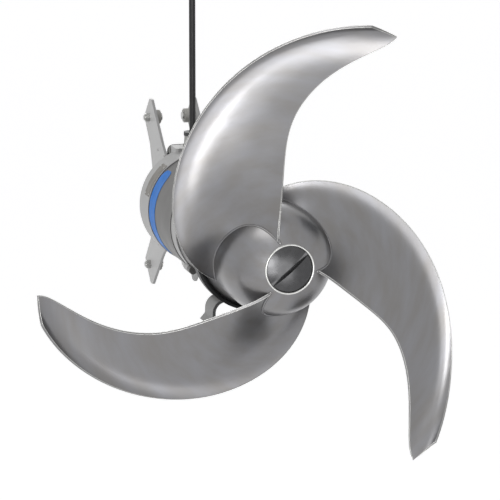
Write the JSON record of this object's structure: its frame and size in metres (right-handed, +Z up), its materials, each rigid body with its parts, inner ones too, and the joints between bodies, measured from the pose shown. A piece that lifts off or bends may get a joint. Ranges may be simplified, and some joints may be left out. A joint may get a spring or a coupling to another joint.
{
  "type": "submersible mixer",
  "caption": "Slow-running submersible mixer with backswept banana blades, a geared wet motor in line behind them and a bracket that slides on a square guide bar.",
  "frame": {"origin": "centre of the square guide bar between the bracket's side plates, at the height of the propeller shaft", "axes": "+Z up along the guide bar, -Y forward along the shaft to the propeller, +X to the right seen from the front"},
  "size_m": [1.2217, 1.2884, 1.324],
  "materials": {
    "steel": "satin",
    "bright_steel": "satin",
    "gear_steel": "satin",
    "core_iron": "matte",
    "magnet": "matte",
    "copper": "satin",
    "cap_black": "glossy",
    "seal_carbide": "satin",
    "housing_grey": "satin",
    "casing_light": "satin",
    "bracket_grey": "satin",
    "ring_black": "matte",
    "rubber": "matte",
    "terminal_plastic": "matte",
    "band_blue": "satin",
    "plate_metal": "satin",
    "gland_metal": "satin",
    "gland_black": "matte",
    "cable_rubber": "satin",
    "clamp_steel": "satin",
    "bail_steel": "satin",
    "roller_plastic": "matte"
  },
  "bodies": {
    "casing": {"gear_housing_screws": "bright_steel", "flange_bolts": "bright_steel", "rear_cover_screws": "bright_steel", "foot_screws": "bright_steel", "mounting_bolts": "bright_steel", "bail_pins": "bright_steel", "roller_bolts": "bright_steel", "roller_nuts": "bright_steel", "shaft_bearing_outer_rings": "bright_steel", "shaft_bearing_rollers": "bright_steel", "bearing_spacer": "bright_steel", "rotor_bearing_outer_rings": "bright_steel", "ring_gear": "gear_steel", "stator_core": "core_iron", "stator_windings": "copper", "seal_fixed_faces": "seal_carbide", "motor_housing": "housing_grey", "gear_housing": "housing_grey", "seal_housing": "housing_grey", "motor_flange": "casing_light", "rear_cover": "casing_light", "left_side_plate": "bracket_grey", "right_side_plate": "bracket_grey", "mounting_plate": "bracket_grey", "cross_blocks": "bracket_grey", "support_foot": "bracket_grey", "deflector_ring": "ring_black", "casing_seal_rings": "rubber", "terminal_block": "terminal_plastic", "blue_band": "band_blue", "data_plate": "plate_metal", "gland_body": "gland_metal", "gland_nut": "gland_black", "power_cable": "cable_rubber", "cable_clamp": "clamp_steel"},
    "propeller": {"propeller_hub": "steel", "blade_1": "steel", "blade_2": "steel", "blade_3": "steel", "nose_cap": "cap_black", "hub_bolt": "bright_steel", "hub_key": "bright_steel", "output_shaft": "bright_steel", "shaft_bearing_inner_rings": "bright_steel", "seal_rotating_faces": "seal_carbide", "planet_carrier": "gear_steel", "planet_pins": "bright_steel"},
    "rotor": {"rotor_shaft": "bright_steel", "sun_gear": "gear_steel", "rotor_core": "core_iron", "rotor_magnets": "magnet", "rotor_bearing_inner_rings": "bright_steel"},
    "planet_1": {"planet_gear_1": "gear_steel"},
    "planet_2": {"planet_gear_2": "gear_steel"},
    "planet_3": {"planet_gear_3": "gear_steel"},
    "bail": {"lifting_bail": "bail_steel"},
    "upper_left_roller": {"upper_left_roller": "roller_plastic"},
    "upper_right_roller": {"upper_right_roller": "roller_plastic"},
    "lower_left_roller": {"lower_left_roller": "roller_plastic"},
    "lower_right_roller": {"lower_right_roller": "roller_plastic"}
  },
  "joints": [
    {"name": "propeller_spin", "type": "hinge", "parent": "casing", "child": "propeller", "pos_m": [0, -0.84, 0], "axis": [0, -1, 0], "continuous": true},
    {"name": "rotor_spin", "type": "hinge", "parent": "casing", "child": "rotor", "pos_m": [0, -0.4, 0], "axis": [0, -1, 0], "continuous": true},
    {"name": "planet_1_spin", "type": "hinge", "parent": "propeller", "child": "planet_1", "pos_m": [0, -0.692, 0.0675], "axis": [0, -1, 0], "continuous": true},
    {"name": "planet_2_spin", "type": "hinge", "parent": "propeller", "child": "planet_2", "pos_m": [-0.05846, -0.692, -0.03375], "axis": [0, -1, 0], "continuous": true},
    {"name": "planet_3_spin", "type": "hinge", "parent": "propeller", "child": "planet_3", "pos_m": [0.05846, -0.692, -0.03375], "axis": [0, -1, 0], "continuous": true},
    {"name": "bail_swing", "type": "hinge", "parent": "casing", "child": "bail", "pos_m": [0, -0.1, 0.125], "axis": [1, 0, 0], "range_deg": [0, 60]},
    {"name": "upper_left_roller_spin", "type": "hinge", "parent": "casing", "child": "upper_left_roller", "pos_m": [-0.0507, 0.075, 0.222], "axis": [1, 0, 0], "continuous": true},
    {"name": "upper_right_roller_spin", "type": "hinge", "parent": "casing", "child": "upper_right_roller", "pos_m": [0.0507, 0.075, 0.222], "axis": [1, 0, 0], "continuous": true},
    {"name": "lower_left_roller_spin", "type": "hinge", "parent": "casing", "child": "lower_left_roller", "pos_m": [-0.0507, 0.075, -0.242], "axis": [1, 0, 0], "continuous": true},
    {"name": "lower_right_roller_spin", "type": "hinge", "parent": "casing", "child": "lower_right_roller", "pos_m": [0.0507, 0.075, -0.242], "axis": [1, 0, 0], "continuous": true}
  ],
  "couplings": [
    {"joint": "rotor_spin", "follows": "propeller_spin", "ratio": 6},
    {"joint": "planet_1_spin", "follows": "propeller_spin", "ratio": -2.5},
    {"joint": "planet_2_spin", "follows": "propeller_spin", "ratio": -2.5},
    {"joint": "planet_3_spin", "follows": "propeller_spin", "ratio": -2.5}
  ]
}
